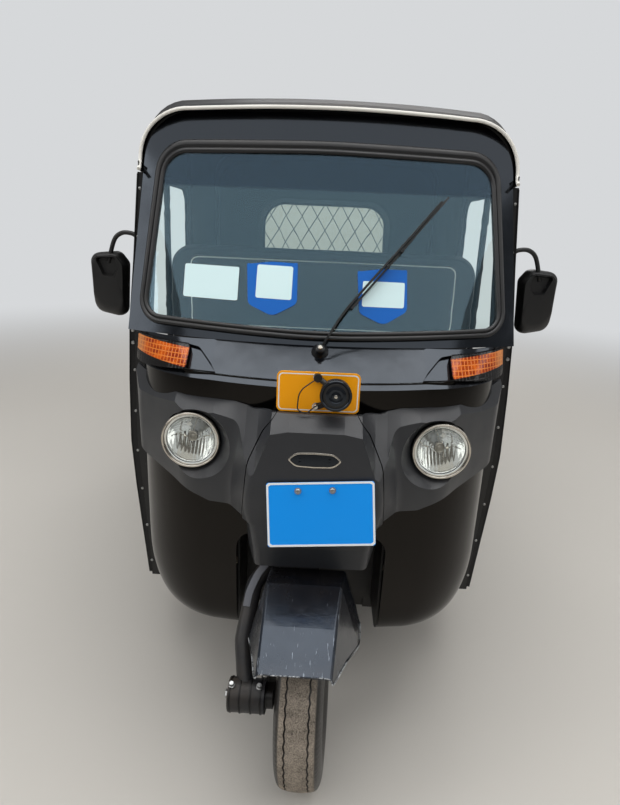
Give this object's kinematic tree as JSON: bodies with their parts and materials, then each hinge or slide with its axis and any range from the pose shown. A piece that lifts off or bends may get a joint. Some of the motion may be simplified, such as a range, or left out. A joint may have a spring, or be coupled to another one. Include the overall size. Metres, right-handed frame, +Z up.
{
  "type": "auto rickshaw",
  "caption": "Three-wheeled passenger rickshaw with an open-sided cab, a fabric canopy, a steered front wheel and a rear engine under a louvred lid.",
  "frame": {"origin": "on the ground under the middle of the vehicle's length and width", "axes": "+Z up, nose towards -Y, +X towards the driver's left"},
  "size_m": [1.3, 2.6393, 1.7038],
  "materials": {
    "body_paint": "gloss black paint",
    "frame_paint": "satin black paint",
    "fascia_plastic": "grained black plastic",
    "black_plastic": "smooth black plastic",
    "canopy_vinyl": "black vinyl cloth",
    "clear_glass": "laminated glass",
    "clear_sheet": "clear vinyl sheet",
    "clear_lens": "clear lamp lens",
    "amber_lens": "amber lens",
    "red_lens": "red lens",
    "chrome": "bright reflector and bezel",
    "rubber_seal": "black rubber",
    "plate_blue": "blue plate",
    "plate_orange": "orange board",
    "seat_vinyl": "black seat vinyl",
    "tyre": "worn tyre rubber",
    "rim_paint": "silver rim paint",
    "cast_metal": "cast casing",
    "exhaust_steel": "heat stained steel",
    "mirror": "mirror glass",
    "wire": "light painted wire"
  },
  "bodies": {
    "body": {"chassis_frame": "frame_paint", "floor_pan": "body_paint", "front_apron": "body_paint", "wheel_well": "frame_paint", "front_cowl": "body_paint", "fascia_wings": "fascia_plastic", "fascia_centre": "fascia_plastic", "headlamps": "chrome", "headlamp_lenses": "clear_lens", "front_indicators": "amber_lens", "windscreen_frame": "body_paint", "windscreen_glass": "clear_glass", "windscreen_seal": "rubber_seal", "wiper": "black_plastic", "number_plate": "plate_blue", "horn_plate": "plate_orange", "horn": "black_plastic", "pillar_strips": "frame_paint", "door_posts": "frame_paint", "mirror_housings": "black_plastic", "mirror_glasses": "mirror", "canopy": "canopy_vinyl", "canopy_frame": "frame_paint", "rear_window": "clear_sheet", "rear_guard": "wire", "partition": "body_paint", "driver_seat_box": "body_paint", "driver_seat": "seat_vinyl", "driver_backrest": "seat_vinyl", "passenger_seat_base": "body_paint", "passenger_cushion": "seat_vinyl", "passenger_backrest": "seat_vinyl", "luggage_tray": "body_paint", "rear_quarters": "body_paint", "wheel_housings": "frame_paint", "tail_panel": "body_paint", "tail_lamps": "red_lens", "rear_bumper": "frame_paint", "engine": "cast_metal", "rear_arms": "frame_paint", "rear_dampers": "frame_paint", "drive_shafts": "exhaust_steel", "silencer": "exhaust_steel", "dashboard": "fascia_plastic", "pedals": "frame_paint"},
    "steering": {"fork": "frame_paint", "handlebar": "black_plastic", "front_mudguard": "body_paint", "trailing_link": "frame_paint", "front_damper": "frame_paint"},
    "front_wheel": {"front_rim": "rim_paint", "front_tyre": "tyre"},
    "rear_wheel_left": {"rear_rim_left": "rim_paint", "rear_tyre_left": "tyre"},
    "rear_wheel_right": {"rear_rim_right": "rim_paint", "rear_tyre_right": "tyre"},
    "engine_lid": {"engine_cover": "body_paint"}
  },
  "joints": [
    {"name": "steering_turn", "type": "hinge", "parent": "body", "child": "steering", "pos_m": [0, -0.89275, 0.6], "axis": [0, 0.4067, 0.9135], "range_deg": [-34, 42]},
    {"name": "front_wheel_spin", "type": "hinge", "parent": "steering", "child": "front_wheel", "pos_m": [0, -1.0675, 0.2075], "axis": [0.9976, -0.0637, 0.0284], "continuous": true},
    {"name": "rear_left_spin", "type": "hinge", "parent": "body", "child": "rear_wheel_left", "pos_m": [0.565, 0.9325, 0.2075], "axis": [1, 0, 0], "continuous": true},
    {"name": "rear_right_spin", "type": "hinge", "parent": "body", "child": "rear_wheel_right", "pos_m": [-0.565, 0.9325, 0.2075], "axis": [1, 0, 0], "continuous": true},
    {"name": "engine_lid_hinge", "type": "hinge", "parent": "body", "child": "engine_lid", "pos_m": [0, 1.3015, 0.6345], "axis": [1, 0, 0], "range_deg": [0, 75]}
  ]
}
